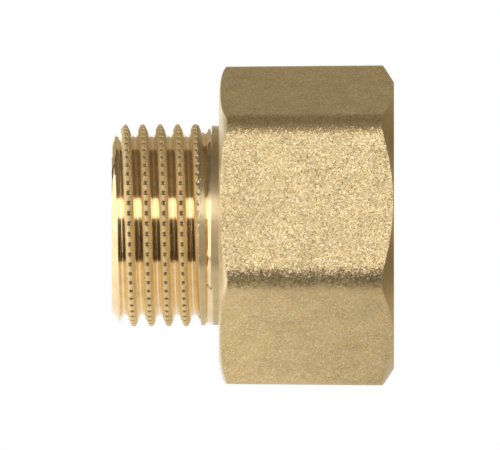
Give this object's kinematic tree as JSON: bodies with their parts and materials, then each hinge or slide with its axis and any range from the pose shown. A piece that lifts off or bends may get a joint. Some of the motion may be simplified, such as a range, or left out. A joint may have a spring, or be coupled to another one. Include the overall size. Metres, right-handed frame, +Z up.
{
  "type": "reducing coupling",
  "caption": "Short brass pipe reducer: a smaller male pipe thread at one end, a larger female pipe thread inside a spanner hexagon at the other, and a through bore.",
  "frame": {"origin": "middle of the part's box, on the axis of its threads", "axes": "+X along the thread axis towards the female end, +Z up out of the hexagon's top flat, the part lying on its bottom flat"},
  "size_m": [0.0294, 0.0336, 0.03],
  "materials": {
    "forged_brass": "forged and shot-blasted, matt with a fine sparkle",
    "machined_brass": "bright turned, with fine tool marks round the axis",
    "thread_brass": "bright cut thread"
  },
  "bodies": {
    "root": {"male_thread": "thread_brass", "thread_runout": "machined_brass", "hex_shoulder": "machined_brass", "hex_body": "forged_brass", "female_rim": "machined_brass", "female_thread": "thread_brass", "stop_shoulder": "machined_brass"}
  },
  "joints": []
}
